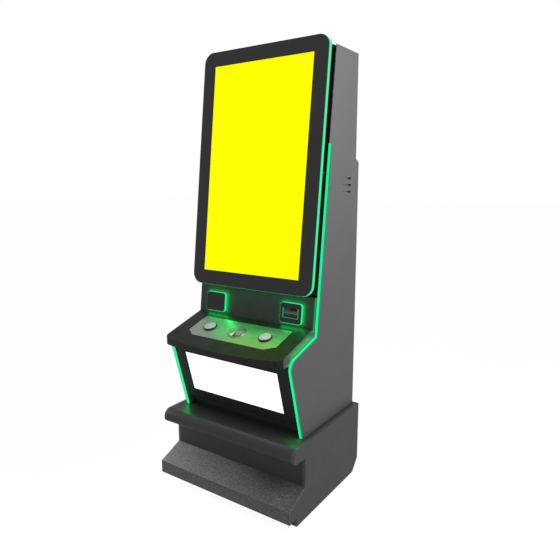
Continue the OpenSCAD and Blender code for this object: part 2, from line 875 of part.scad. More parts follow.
swing_x = -303;
swing_y = 67;
swing_pin_r = 4;
swing_z = [170, 905];
arm_half = 14;
module display_hinge_arms() {
    color("gray") on_display() for (z = swing_z) difference() {
        union() {
            translate([swing_x, swing_y, z - arm_half]) cylinder(r = 8, h = 2 * arm_half);
            translate([swing_x, swing_y - 6, z - arm_half])
                cube([-housing_half - swing_x, 12, 2 * arm_half]);
        }
        translate([swing_x, swing_y, z - arm_half - 1])
            cylinder(r = swing_pin_r + fit, h = 2 * arm_half + 2);
    }
}
module display_hinge_pins() {
    color("silver") on_display() for (z = swing_z)
        translate([swing_x, swing_y, z - arm_half - 9])
            cylinder(r = swing_pin_r, h = 2 * arm_half + 18);
}
module display_hinge_brackets() {
    color("gray") on_display() for (z = swing_z) difference() {
        union() {
            translate([swing_x - 9, fascia_y - sheet_t, z - 32]) cube([18, sheet_t, 64]);
            for (s = [-1, 1]) translate([swing_x - 8, swing_y, z + s * (arm_half + 4.5) - 4]) {
                translate([0, -8, 0]) cube([16, fascia_y - sheet_t - swing_y + 8, 8]);
            }
        }
        translate([swing_x, swing_y, z - 40]) cylinder(r = swing_pin_r + fit, h = 80);
    }
}

keeper_z = 527;
latch_x = 309;
module display_latch() {
    color([0.3, 0.3, 0.3]) on_display() translate([latch_x, fascia_y, keeper_z])
        mirror([0, 1, 0]) cam_latch(5, fascia_y - 68, 20, 10, 7);
}

// ------------------------------------------------------------------ assembly

base_side(-1);  // base_side_left
base_side(1);  // base_side_right
base_top();
base_front();
base_back();
base_floor();
footrest();
plinth();
cabinet_bolts();
cabinet_side(-1);  // cabinet_side_left
cabinet_side(1);  // cabinet_side_right
cabinet_floor();
cabinet_top();
upper_front();
upper_back();
lower_back();
toe_panel();
inner_shelf();
side_light(-1);  // side_light_left
side_light(1);  // side_light_right
deck_shell();
deck_plate();
mid_panel();
button_rings();
center_ring();
button_cap(-button_x);  // button_cap_left
button_cap_center();
button_cap(button_x);  // button_cap_right
button_switches();
speakers();
info_window();
window_light(-window_x);  // info_window_light
bill_bezel();
window_light(window_x);  // bill_bezel_light
bill_mouth_light();
bill_validator();
cash_box();
belly_frame();
belly_panel();
belly_backlight();
belly_hinges();
belly_pins();
belly_latch();
rear_door();
rear_door_pins();
rear_lock();
latch_strikes();
logic_box();
power_supply();
power_inlet();
fan_frame();
fan_rotor();
display_bezel();
screen_panel();
display_light();
display_housing();
display_hinge_arms();
display_hinge_brackets();
display_hinge_pins();
display_latch();
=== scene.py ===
"""Upright slot machine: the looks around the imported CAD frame. Metres, +Z up, the front faces -Y."""
import json
import math

import bmesh
import bpy
from mathutils import Matrix, Vector


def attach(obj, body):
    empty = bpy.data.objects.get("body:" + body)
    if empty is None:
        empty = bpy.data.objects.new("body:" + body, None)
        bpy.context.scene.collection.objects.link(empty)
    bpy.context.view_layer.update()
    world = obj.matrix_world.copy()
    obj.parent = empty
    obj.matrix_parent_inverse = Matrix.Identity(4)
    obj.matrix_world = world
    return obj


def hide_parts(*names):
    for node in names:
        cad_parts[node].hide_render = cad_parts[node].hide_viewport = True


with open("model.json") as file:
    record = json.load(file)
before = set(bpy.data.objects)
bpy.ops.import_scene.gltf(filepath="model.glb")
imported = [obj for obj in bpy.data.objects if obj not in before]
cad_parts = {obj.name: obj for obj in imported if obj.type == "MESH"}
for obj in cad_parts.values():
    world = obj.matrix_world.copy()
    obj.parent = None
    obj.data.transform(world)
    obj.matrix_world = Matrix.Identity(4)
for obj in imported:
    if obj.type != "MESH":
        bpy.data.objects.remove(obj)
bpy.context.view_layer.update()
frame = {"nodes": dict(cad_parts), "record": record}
scene = bpy.context.scene
nodes = frame["nodes"]

MM = 0.001


def leaning(y, z, degrees):
    """A local frame at that place in millimetres on the middle plane, turned about X."""
    return Matrix.Translation((0, y * MM, z * MM)) @ Matrix.Rotation(math.radians(degrees), 4, "X")


# Local frames of the display and of the button deck, as the CAD model has them.
DISPLAY = leaning(-85, 951.5, -6.9)
DECK = leaning(-166, 769.3, 17)


# ------------------------------------------------------------------ materials


WORN_EDGE = 0.0015  # how far the rounding and the wear reach in from an edge, in metres
BEVEL_SAMPLES = 4
NOISE_DETAIL = 3.0


class Shader:
    """A node material with a Principled shader, built up by small steps."""

    def __init__(self, name, rounding=WORN_EDGE):
        self.material = bpy.data.materials.new(name)
        self.material.use_nodes = True
        self.tree = self.material.node_tree
        self.principled = self.tree.nodes["Principled BSDF"]
        texture = self.node("ShaderNodeTexCoord")
        self.coords = texture.outputs["Object"]
        self.facing = texture.outputs["Normal"]
        self.height = self.rounded(rounding)

    def node(self, kind, **values):
        made = self.tree.nodes.new(kind)
        for key, value in values.items():
            setattr(made, key, value)
        return made

    def link(self, source, target):
        self.tree.links.new(source, target)

    def put(self, **values):
        for key, value in values.items():
            self.principled.inputs[key.replace("_", " ")].default_value = value

    def rounded(self, radius):
        """The surface normal with its edges rounded off."""
        soft = self.node("ShaderNodeBevel", samples=BEVEL_SAMPLES)
        soft.inputs["Radius"].default_value = radius
        return soft.outputs["Normal"]

    def stretched(self, stretch):
        """Object coordinates scaled along each axis, for brushed or streaked patterns."""
        if stretch is None:
            return self.coords
        mapping = self.node("ShaderNodeMapping")
        mapping.inputs["Scale"].default_value = stretch
        self.link(self.coords, mapping.inputs["Vector"])
        return mapping.outputs["Vector"]

    def noise(self, size, detail=NOISE_DETAIL, stretch=None, roughness=0.5):
        """A noise with features of about that size in metres, 0 to 1."""
        made = self.node("ShaderNodeTexNoise")
        made.inputs["Scale"].default_value = 1.0 / size
        made.inputs["Detail"].default_value = detail
        made.inputs["Roughness"].default_value = roughness
        self.link(self.stretched(stretch), made.inputs["Vector"])
        return made.outputs["Fac"]

    def cells(self, size):
        """Rounded cells of about that size, 0 in the middle of each."""
        made = self.node("ShaderNodeTexVoronoi", feature="SMOOTH_F1")
        made.inputs["Scale"].default_value = 1.0 / size
        made.inputs["Smoothness"].default_value = 0.6
        self.link(self.coords, made.inputs["Vector"])
        return made.outputs["Distance"]

    def ranged(self, value, low, high, from_low=0.3, from_high=0.7):
        """The value moved from its own range to low and high. A noise stays mostly between 0.3 and 0.7."""
        made = self.node("ShaderNodeMapRange")
        made.inputs["From Min"].default_value = from_low
        made.inputs["From Max"].default_value = from_high
        made.inputs["To Min"].default_value = low
        made.inputs["To Max"].default_value = high
        self.link(value, made.inputs["Value"])
        return made.outputs["Result"]

    def mixed(self, factor, colour_a, colour_b):
        """From the first colour at factor 0 to the second at 1; either can be a socket."""
        made = self.node("ShaderNodeMix", data_type="RGBA")
        for key, value in ((6, colour_a), (7, colour_b)):
            if hasattr(value, "links"):
                self.link(value, made.inputs[key])
            else:
                made.inputs[key].default_value = (*value, 1)
        self.link(factor, made.inputs[0])
        return made.outputs[2]

    def product(self, a, b):
        made = self.node("ShaderNodeMath", operation="MULTIPLY")
        self.link(a, made.inputs[0])
        self.link(b, made.inputs[1])
        return made.outputs[0]

    def beyond(self, axis, start, end):
        """0 nearer the machine's middle than start along the axis, 1 past end, both in metres."""
        parts = self.node("ShaderNodeSeparateXYZ")
        self.link(self.coords, parts.inputs[0])
        size = self.node("ShaderNodeMath", operation="ABSOLUTE")
        self.link(parts.outputs[axis], size.inputs[0])
        return self.ranged(size.outputs[0], 0.0, 1.0, start, end)

    def bump(self, value, height):
        """Adds a bump of that height in metres."""
        made = self.node("ShaderNodeBump")
        made.inputs["Strength"].default_value = 1.0
        made.inputs["Distance"].default_value = height
        self.link(value, made.inputs["Height"])
        self.link(self.height, made.inputs["Normal"])
        self.height = made.outputs["Normal"]
        self.link(self.height, self.principled.inputs["Normal"])

    def edges(self, radius):
        """1 along sharp edges, 0 on flats."""
        hard = self.node("ShaderNodeNewGeometry")
        dot = self.node("ShaderNodeVectorMath", operation="DOT_PRODUCT")
        self.link(self.rounded(radius), dot.inputs[0])
        self.link(hard.outputs["Normal"], dot.inputs[1])
        return self.ranged(dot.outputs["Value"], 1.0, 0.0, 0.75, 0.98)

    def base(self, colour):
        self.link(colour, self.principled.inputs["Base Color"])

    def satin(self, value, low, high):
        """Roughness between low and high, as the value varies."""
        self.link(self.ranged(value, low, high), self.principled.inputs["Roughness"])


def shown_object(name, data):
    made = bpy.data.objects.new(name, data)
    scene.collection.objects.link(made)
    return made


def scaled(colour, factor):
    return tuple(min(c * factor, 1.0) for c in colour)


def painted(name, colour, rough=0.5, grain=0.0011, grain_height=0.00006, speckle=0.16):
    """Paint or powder coat: fine orange peel, slight speckle, cloudy roughness, paler worn edges."""
    s = Shader(name)
    fine = s.noise(grain, 2.0)
    cloud = s.noise(0.35, 4.0)
    tone = s.mixed(s.ranged(fine, 0, 1), scaled(colour, 1 - speckle), scaled(colour, 1 + speckle))
    clouded = s.mixed(s.ranged(cloud, 0, 0.35), tone, scaled(colour, 0.82))
    worn = s.product(s.edges(WORN_EDGE), s.ranged(s.noise(0.03), 0, 0.35))
    s.base(s.mixed(worn, clouded, scaled(colour, 1.9)))
    s.satin(s.noise(0.12, 4.0), rough - 0.06, rough + 0.07)
    s.bump(fine, grain_height)
    return s.material


def moulded(name, colour, rough=0.45, grain=0.0009, specular=0.5, end_colour=None, end_x=0.0):
    """Fine-grained moulded plastic: cells for the mould's texture, faint mottling, rubbed patches.
    Its ends, past end_x on both sides, can be painted in another colour."""
    s = Shader(name)
    leather = s.cells(grain)
    tone = s.mixed(s.ranged(s.noise(0.05, 4.0), 0, 1), scaled(colour, 0.86), scaled(colour, 1.14))
    if end_colour:
        tone = s.mixed(s.beyond("X", end_x, end_x + 0.1 * MM), tone, end_colour)
    s.base(tone)
    s.satin(s.noise(0.08), rough - 0.05, rough + 0.08)
    s.put(Specular_IOR_Level=specular)
    s.bump(leather, 0.00005)
    return s.material


def glossy(name, colour, rough):
    """Gloss plastic or black-backed glass: faint smears in the roughness and a slight ripple."""
    s = Shader(name)
    smear = s.noise(0.06, 5.0, stretch=(1, 1, 0.4))
    s.base(s.mixed(s.ranged(s.noise(0.2, 2.0), 0, 1), scaled(colour, 0.9), scaled(colour, 1.1)))
    s.satin(smear, rough, rough + 0.06)
    s.bump(s.noise(0.05, 1.0), 0.00002)
    return s.material


def metal(name, colour, rough, size, stretch=None, height=0.00003):
    """Bare metal, brushed along the axis that the stretch shrinks."""
    s = Shader(name)
    brushed = s.noise(size, 4.0, stretch=stretch, roughness=0.6)
    s.base(s.mixed(s.ranged(brushed, 0, 1), scaled(colour, 0.8), scaled(colour, 1.15)))
    s.satin(s.noise(size * 3, stretch=stretch), rough - 0.06, rough + 0.1)
    s.put(Metallic=1.0)
    s.bump(brushed, height)
    return s.material


# Tone of the turned cap round its axis, as (turn from the -X side, tone): a painted highlight, a pale wedge of
# reflected light, beside a painted shade, a dark one, where spun metal shows its sheen.
PAINTED_SHEEN_WEDGES = [(0.0, 0.4), (0.16, 0.35), (0.215, 0.95), (0.255, 0.95), (0.285, 0.08), (0.315, 0.1),
          (0.36, 0.45), (0.6, 0.25), (0.76, 0.35), (0.84, 0.6), (0.92, 0.4)]


def turned(name, rough):
    """Metal-faced cap with fine turned rings and a real anisotropic sheen; its wedge-shaped sheen is also a
    painted highlight and shade in the colour.
    """
    s = Shader(name, rounding=0.0005)
    angle = s.node("ShaderNodeTexGradient", gradient_type="RADIAL")
    s.link(s.coords, angle.inputs["Vector"])
    # The turn round the axis picks a painted highlight or a painted shade for the base colour.
    painted_sheen = s.node("ShaderNodeValToRGB")
    stops = painted_sheen.color_ramp.elements
    stops.remove(stops[1])
    for i, (position, tone) in enumerate(PAINTED_SHEEN_WEDGES):
        stop = stops[0] if i == 0 else stops.new(position)
        stop.position, stop.color = position, (tone, tone, tone, 1)
    s.link(angle.outputs["Fac"], painted_sheen.inputs["Fac"])
    rings = s.node("ShaderNodeTexWave", wave_type="RINGS", rings_direction="Z")
    rings.inputs["Scale"].default_value = 120.0
    rings.inputs["Distortion"].default_value = 1.5
    s.link(s.coords, rings.inputs["Vector"])
    s.base(s.product(painted_sheen.outputs["Color"], s.ranged(rings.outputs["Fac"], 0.9, 1.05)))
    s.satin(s.noise(0.02), rough - 0.04, rough + 0.06)
    around = s.node("ShaderNodeTangent", direction_type="RADIAL", axis="Z")
    s.link(around.outputs["Tangent"], s.principled.inputs["Tangent"])
    s.put(Metallic=0.4, Anisotropic=0.8, Anisotropic_Rotation=0.25)
    s.bump(s.noise(0.03, 2.0), 0.00002)
    return s.material


def lit(name, colour, strength, body, ripple=0.06, size=0.02, specular=0.5, painted_rim_glow_x=None, front_only=False):
    """A lit diffuser: even light with a slight ripple from the lamps behind it, on a satin plastic body.
    Past the given x on both sides, the light fades to a dim glow: a painted glow for the strip's green light on
    the rim beside it, which is no lamp. With front_only just the faces to the front are lit."""
    s = Shader(name)
    wave = s.noise(size, 2.0)
    s.base(s.mixed(s.ranged(wave, 0, 1), scaled(body, 0.95), scaled(body, 1.05)))
    light = s.mixed(s.ranged(wave, 0, 1), scaled(colour, 1 - ripple), colour)
    # The dim outer band is a painted glow: light falling on the rim, not a lamp.
    if painted_rim_glow_x:
        light = s.mixed(s.beyond("X", painted_rim_glow_x, painted_rim_glow_x + 2.5 * MM), light, scaled(colour, 0.22))
    s.link(light, s.principled.inputs["Emission Color"])
    s.satin(wave, 0.3, 0.45)
    s.put(Emission_Strength=strength, Specular_IOR_Level=specular)
    if front_only:
        ahead = s.node("ShaderNodeSeparateXYZ")
        s.link(s.facing, ahead.inputs[0])
        front = s.ranged(ahead.outputs["Y"], strength, 0.0, -0.8, -0.6)
        s.link(front, s.principled.inputs["Emission Strength"])
    s.bump(s.noise(0.001, 2.0), 0.00002)
    return s.material


def hammered(name, colour, rough):
    """A coarse speckled coating: raised blobs of a few millimetres, pale and dark flecks, and edges painted
    paler all along, partly rubbed wear and partly a painted highlight.
    """
    rubbed_and_highlit_edge = 0.004
    s = Shader(name, rounding=rubbed_and_highlit_edge)
    blobs = s.cells(0.0055)
    fleck = s.noise(0.0075, roughness=0.75)
    tone = s.mixed(s.ranged(fleck, 0, 1, 0.38, 0.62), scaled(colour, 0.5), scaled(colour, 1.5))
    cloud = s.mixed(s.ranged(s.noise(0.05), 0, 0.4), tone, scaled(colour, 0.75))
    # Paler edges all along: partly rubbed wear, partly a painted highlight on every edge.
    s.base(s.mixed(s.edges(rubbed_and_highlit_edge), cloud, scaled(colour, 2.6)))
    s.satin(fleck, rough - 0.1, rough + 0.12)
    s.bump(blobs, 0.0008)
    s.bump(fleck, 0.0004)
    return s.material


GREEN = (0.012, 0.9, 0.34)
GREEN_BODY = (0.01, 0.1, 0.04)

# The materials by the slot that a piece is in. Where the frame already has a material of that name, Blender
# puts a number after the new one's name, which is left off here.
BY_SLOT = {made.name.split(".")[0]: made for made in (
    painted("cabinet_paint", (0.13, 0.13, 0.131)),
    painted("base_paint", (0.085, 0.085, 0.086)),
    painted("dark_sheet", (0.042, 0.042, 0.043), rough=0.42, speckle=0.1),
    painted("rear_sheet", (0.075, 0.075, 0.078), grain=0.0016, grain_height=0.0001),
    painted("housing_black", (0.018, 0.018, 0.019), speckle=0.1),
    painted("inner_steel", (0.3, 0.31, 0.32), rough=0.4, speckle=0.06),
    hammered("footrest_coat", (0.112, 0.11, 0.106), rough=0.36),
    moulded("plinth_black", (0.012, 0.012, 0.012), rough=0.6),
    moulded("console_black", (0.018, 0.02, 0.02), rough=0.42),
    moulded("device_black", (0.02, 0.02, 0.021), rough=0.5, grain=0.0014),
    glossy("window_black", (0.018, 0.018, 0.018), rough=0.12),
    glossy("display_black", (0.029, 0.028, 0.029), rough=0.1),
    glossy("ring_black", (0.008, 0.008, 0.008), rough=0.15),
    metal("brushed_plate", (0.56, 0.59, 0.56), rough=0.38, size=0.0012, stretch=(0.03, 1, 1)),
    metal("polished_metal", (0.5, 0.51, 0.5), rough=0.3, size=0.01, height=0.00001),
    metal("bright_steel", (0.5, 0.5, 0.52), rough=0.32, size=0.003),
    turned("metallised_cap", rough=0.3),
    lit("button_lens", (0.75, 1.0, 0.72), 0.1, body=(0.5, 0.58, 0.49), size=0.01),
    lit("light_diffuser", GREEN, 1.0, body=GREEN_BODY, specular=0.2),
    lit("screen_lit", (1.0, 1.0, 0.001), 1.0, body=(0.0, 0.0, 0.0), ripple=0.004, size=0.3, specular=0.0,
        front_only=True),
    lit("belly_white", (1.0, 1.0, 1.0), 1.0, body=(0.8, 0.8, 0.8), ripple=0.01, size=0.2, front_only=True),
)}

# Nodes that look a little different from the rest of their slot.
# The strips' outer rims glow dimly: a painted glow of their green light on the side panels' rims.
strip_green_painted_rim = lit("strip_diffuser_painted_rim", GREEN, 1.0, body=GREEN_BODY, specular=0.2, painted_rim_glow_x=0.3335)
BY_NODE = {
    "deck_shell": moulded("deck_black", (0.014, 0.016, 0.015), specular=0.35, end_colour=(0.09, 0.095, 0.09),
                          end_x=0.3218),
    "mid_panel": moulded("mid_black", (0.028, 0.033, 0.032)),
    "belly_frame": moulded("belly_black", (0.017, 0.017, 0.017), rough=0.5, specular=0.25),
    "cabinet_floor": BY_SLOT["plinth_black"],
    "side_light_left": strip_green_painted_rim,
    "side_light_right": strip_green_painted_rim,
}

# Materials of the two pieces in the note mouth. The guide's faint glow is a painted glow of the mouth's green
# lights on it; the guide is no lamp.
dim_green = lit("dim_diffuser", scaled(GREEN, 0.4), 1.0, body=(0.02, 0.12, 0.05), specular=0.2)
note_guide_painted_glow = lit("note_guide_painted_glow", (0.6, 1.0, 0.6), 0.045, body=(0.1, 0.13, 0.1), size=0.01)

for part in frame["record"]["subparts"]:
    shown = nodes[part["node"]]
    shown.data.materials.clear()
    shown.data.materials.append(BY_NODE.get(part["node"], BY_SLOT[part["material_slot"]]))


# ---------------------------------------------------------------- mesh pieces
# Shapes are drawn in millimetres in the local frame of the assembly they belong to.


def joined(shape, loops, closed):
    """Quads between each loop of points and the next; a loop of one point makes a fan."""
    pairs = list(zip(loops, loops[1:])) + ([(loops[-1], loops[0])] if closed else [])
    for a, b in pairs:
        count = max(len(a), len(b))
        for i in range(count):
            j = (i + 1) % count
            corners = [a[i % len(a)], a[j % len(a)], b[j % len(b)], b[i % len(b)]]
            unique = [v for k, v in enumerate(corners) if v not in corners[:k]]
            if len(unique) > 2:
                shape.faces.new(unique)
    bmesh.ops.recalc_face_normals(shape, faces=shape.faces)
    return shape


def lathe(profile, x=0, shape=None, steps=128):
    """A solid turned about a line along Z at x, from (radius, height) points, in a new shape or added to one.
    A profile that starts and ends on the axis is a disc; any other is a ring."""
    if shape is None:
        shape = bmesh.new()
    loops = []
    for radius, height in profile:
        angles = [math.tau * i / steps for i in range(steps)] if radius else [0]
        around = [(x + radius * math.cos(a), radius * math.sin(a), height) for a in angles]
        loops.append([shape.verts.new(point) for point in around])
    return joined(shape, loops, profile[0][0] > 0)


def framed(sections, middle_z, steps=24):
    """A frame in the XZ plane round middle_z, from sections of (width, height, corner radius, depth)."""
    shape = bmesh.new()
    loops = []
    for width, height, radius, depth in sections:
        loop = []
        for quarter, (sx, sz) in enumerate(((1, 1), (-1, 1), (-1, -1), (1, -1))):
            corner_x = sx * (width / 2 - radius)
            corner_z = middle_z + sz * (height / 2 - radius)
            for i in range(steps + 1):
                angle = math.pi / 2 * (quarter + i / steps)
                loop.append(shape.verts.new((corner_x + radius * math.cos(angle), depth,
                                             corner_z + radius * math.sin(angle))))
        loops.append(loop)
    return joined(shape, loops, True)


def prism(shape, outline, x0, x1):
    """Adds a solid with a YZ outline between two X positions."""
    ends = [[shape.verts.new((x, y, z)) for y, z in outline] for x in (x0, x1)]
    shape.faces.new(ends[0])
    shape.faces.new(ends[1])
    joined(shape, ends, False)


SHARP_ANGLE = math.radians(32)


def piece(name, shape, place, body, slot, *replaced, material=None):
    """Turns a shape into a named object that rides on a body, in place of the CAD nodes that it replaces."""
    mesh = bpy.data.meshes.new(name)
    shape.to_mesh(mesh)
    shape.free()
    mesh.transform(Matrix.Scale(MM, 4))
    mesh.polygons.foreach_set("use_smooth", [True] * len(mesh.polygons))
    mesh.set_sharp_from_angle(angle=SHARP_ANGLE)
    mesh.materials.append(material or BY_SLOT[slot])
    shown = shown_object(name, mesh)
    shown.matrix_world = place
    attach(shown, body)
    if replaced:
        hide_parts(*replaced)


def arc(r0, z0, r1, z1, steps=6):
    """A quarter round from (r0, z0), which leaves along Z, to (r1, z1), which arrives across it."""
    angles = [math.pi / 2 * i / steps for i in range(steps + 1)]
    return [(r1 + (r0 - r1) * math.cos(a), z0 + (z1 - z0) * math.sin(a)) for a in angles]


def frame_sections(width, height, radius, steps):
    """Sections of a rounded frame that stands proud of the given outline by each (proud, depth) step."""
    return [(width + 2 * proud, height + 2 * proud, radius + proud, depth) for proud, depth in steps]


# The display: black glass with a softly ground front edge, round the screen, and the light frame behind it.
SCREEN_W, SCREEN_H = 529.4, 941.2
GLASS_W, GLASS_H, GLASS_R, GLASS_BACK = 665.0, 1075.0, 50.0, 4.0
GROUND_EDGE = [(0.0, GLASS_BACK), (0.0, 1.5), (-0.4, 0.5), (-1.2, 0.1), (-2.0, 0.0)]
piece("display_glass", framed(
    frame_sections(GLASS_W, GLASS_H, GLASS_R, GROUND_EDGE)
    + [(SCREEN_W + 1.0, SCREEN_H + 1.0, 1.0, 0.0), (SCREEN_W, SCREEN_H, 0.5, 0.4),
       (SCREEN_W, SCREEN_H, 0.5, GLASS_BACK)],
    GLASS_H / 2), DISPLAY, "display", "display_black", "display_bezel")

LIGHT_PROUD, LIGHT_BACK, LIGHT_WALL = 1.0, 20.0, 12.0
LIGHT_ROUND = [(LIGHT_PROUD - LIGHT_WALL, 0.0), (LIGHT_PROUD - 0.9, 0.0), (LIGHT_PROUD - 0.2, 0.4),
               (LIGHT_PROUD, 1.2)]
piece("display_edge_light", framed(
    frame_sections(GLASS_W, GLASS_H, GLASS_R,
                   [(proud, GLASS_BACK + inward) for proud, inward in LIGHT_ROUND]
                   + [(proud, LIGHT_BACK - inward) for proud, inward in reversed(LIGHT_ROUND)]),
    GLASS_H / 2), DISPLAY, "display", "light_diffuser", "display_light")

# Buttons, in the deck's frame: guide rings with a rounded rim, and slightly crowned caps.
BUTTON_X, BUTTON_R, BARREL_R, STEM_R = 156, 27.5, 22, 18
CENTER_R, CENTER_BARREL_R, CENTER_STEM_R = 40, 31, 26
FLANGE_W, CENTER_FLANGE_W = 4, 3.5
RIM_TOP, CENTER_RIM_TOP = 7, 4
FIT, PLATE_TOP, LOWEST = 0.05, 0.5, -34
RIM_ROUND, CAP_GAP, LIP_BREAK, WELL_FLOOR = 1.6, 0.5, 0.6, 1.5
STEM_LOW, CAP_UNDER = -30, 5
CAP_SHAPE = (7.6, 9.6, 1.6)  # top of the straight edge, top of the dome, width of the round between them
CENTER_CAP_SHAPE = (6.2, 8.2, 1.4)
EDGE_RISE = 0.8  # height of the round on a cap's edge, as a share of its width


def guide_ring(r, flange_w, barrel, stem, rim, x=0, shape=None):
    """The CAD ring's section with its rim rounded, turned."""
    flange = r + flange_w
    bore, well = stem + FIT, r + CAP_GAP
    return lathe(
        [(bore, LOWEST), (barrel, LOWEST), (barrel, PLATE_TOP), (flange, PLATE_TOP), (flange, rim - RIM_ROUND)]
        + arc(flange, rim - RIM_ROUND, flange - RIM_ROUND, rim)
        + [(well + LIP_BREAK, rim), (well, rim - LIP_BREAK), (well, WELL_FLOOR), (bore, WELL_FLOOR)], x, shape)


def cap(r, stem, edge_z, top_z, round_r, steps=10):
    """A cap on its stem, with a shallow dome from its rounded edge to its middle."""
    dome_r, dome_z = r - round_r, edge_z + round_r * EDGE_RISE
    dome = [(dome_r * (1 - i / steps), dome_z + (top_z - dome_z) * (1 - (1 - i / steps) ** 2))
            for i in range(1, steps + 1)]
    return lathe([(0, STEM_LOW), (stem, STEM_LOW), (stem, CAP_UNDER), (r, CAP_UNDER)]
                 + arc(r, edge_z, dome_r, dome_z) + dome)


button_rings = guide_ring(BUTTON_R, FLANGE_W, BARREL_R, STEM_R, RIM_TOP, -BUTTON_X)
guide_ring(BUTTON_R, FLANGE_W, BARREL_R, STEM_R, RIM_TOP, BUTTON_X, button_rings)
piece("button_guide_rings", button_rings, DECK, "cabinet", "ring_black", "button_rings")
for side, label in ((-1, "left"), (1, "right")):
    piece(f"button_cap_{label}_lens", cap(BUTTON_R, STEM_R, *CAP_SHAPE),
          DECK @ Matrix.Translation((side * BUTTON_X * MM, 0, 0)), f"button_{label}", "button_lens",
          f"button_cap_{label}")
piece("center_guide_ring",
      guide_ring(CENTER_R, CENTER_FLANGE_W, CENTER_BARREL_R, CENTER_STEM_R, CENTER_RIM_TOP),
      DECK, "cabinet", "polished_metal", "center_ring")
piece("center_cap_turned", cap(CENTER_R, CENTER_STEM_R, *CENTER_CAP_SHAPE),
      DECK, "button_center", "metallised_cap", "button_cap_center")

# The guide inside the note mouth, with a painted glow for the mouth lights on it: a ramp and a floor between
# two cheeks, with ribs that carry the note.
WINDOW_X, WINDOW_Z, WINDOW_HALF_W, WINDOW_HALF_H = 214, -84, 57, 47
GUIDE_HALF, GUIDE_T = 35.8, 0.8
RAMP_Y0, RAMP_Z0, RAMP_Y1, RAMP_Z1 = 38.2, -100.6, 49.3, -78.9
GUIDE_DEEP, GUIDE_TOP, GUIDE_FRONT_TOP = 92, -67.2, -64.9
RIB_GAP, RIB_T = 12, 1.2
RIB_START, RIB_HIGH, RIB_END = (0.8, 1.2), (1.4, 2.9), 1.1

guide = bmesh.new()
left, right = WINDOW_X - GUIDE_HALF, WINDOW_X + GUIDE_HALF
prism(guide, [(RAMP_Y1, RAMP_Z1), (GUIDE_DEEP, RAMP_Z1), (GUIDE_DEEP, RAMP_Z1 + GUIDE_T),
              (RAMP_Y1, RAMP_Z1 + GUIDE_T)], left, right)
prism(guide, [(RAMP_Y0, RAMP_Z0), (RAMP_Y1, RAMP_Z1), (RAMP_Y1, RAMP_Z1 + GUIDE_T),
              (RAMP_Y0, RAMP_Z0 + GUIDE_T)], left, right)
for start, end in ((left, left + GUIDE_T), (right - GUIDE_T, right)):
    prism(guide, [(RAMP_Y0, RAMP_Z0 + GUIDE_T), (RAMP_Y1, RAMP_Z1 + GUIDE_T), (GUIDE_DEEP, RAMP_Z1 + GUIDE_T),
                  (GUIDE_DEEP, GUIDE_TOP), (RAMP_Y1, GUIDE_TOP), (RAMP_Y0, GUIDE_FRONT_TOP)], start, end)
for i in range(-2, 3):
    rib_x = WINDOW_X + i * RIB_GAP
    prism(guide, [(RAMP_Y0 + RIB_START[0], RAMP_Z0 + GUIDE_T + RIB_START[1]), (RAMP_Y1, RAMP_Z1 + GUIDE_T),
                  (RAMP_Y1, RAMP_Z1 + GUIDE_T + RIB_END),
                  (RAMP_Y0 + RIB_HIGH[0], RAMP_Z0 + GUIDE_T + RIB_HIGH[1])],
          rib_x - RIB_T / 2, rib_x + RIB_T / 2)
piece("note_guide_painted_glow", guide, DISPLAY, "cabinet", "light_diffuser", material=note_guide_painted_glow)

# The thin lit U round the mouth: two uprights, and a bar under them that sits back a little.
MOUTH_LOW, MOUTH_TOP, MOUTH_EDGE = -106, -62, 40.1
UPRIGHT_W, UPRIGHT_CHAMFER, MOUTH_FRONT, MOUTH_BACK = 2.2, 0.4, 36.0, 39.5
BAR_H, BAR_HALF = 1.8, 37.9
BAR_FRONT = MOUTH_FRONT + UPRIGHT_CHAMFER
mouth_light = bmesh.new()
for start in (WINDOW_X - MOUTH_EDGE, WINDOW_X + MOUTH_EDGE - UPRIGHT_W):
    prism(mouth_light, [(MOUTH_FRONT, MOUTH_LOW), (BAR_FRONT, MOUTH_LOW), (MOUTH_BACK, MOUTH_LOW),
                        (MOUTH_BACK, MOUTH_TOP), (BAR_FRONT, MOUTH_TOP),
                        (MOUTH_FRONT, MOUTH_TOP - UPRIGHT_CHAMFER)], start, start + UPRIGHT_W)
prism(mouth_light, [(BAR_FRONT, MOUTH_LOW), (MOUTH_BACK, MOUTH_LOW), (MOUTH_BACK, MOUTH_LOW + BAR_H),
                    (BAR_FRONT, MOUTH_LOW + BAR_H)], WINDOW_X - BAR_HALF, WINDOW_X + BAR_HALF)
piece("mouth_edge_light", mouth_light, DISPLAY, "cabinet", "light_diffuser", "bill_mouth_light",
      material=dim_green)


# --------------------------------------------------------- camera and lights


def aim(thing, location, direction):
    thing.location = location
    thing.rotation_mode = "QUATERNION"
    thing.rotation_quaternion = direction.to_track_quat("-Z", "Y")


# The photo's viewing angle: from the right of the front and a little above, looking slightly down.
AZIMUTH, PITCH = math.radians(34.11), math.radians(10.449)
camera_data = bpy.data.cameras.new("camera")
camera_data.lens = 33.70
camera_data.sensor_width = 36.0
camera = shown_object("camera", camera_data)
look = Vector((-math.sin(AZIMUTH) * math.cos(PITCH), math.cos(AZIMUTH) * math.cos(PITCH), -math.sin(PITCH)))
aim(camera, (1.4240, -1.9252, 1.4220), look)
scene.camera = camera

scene.view_settings.view_transform = "Standard"

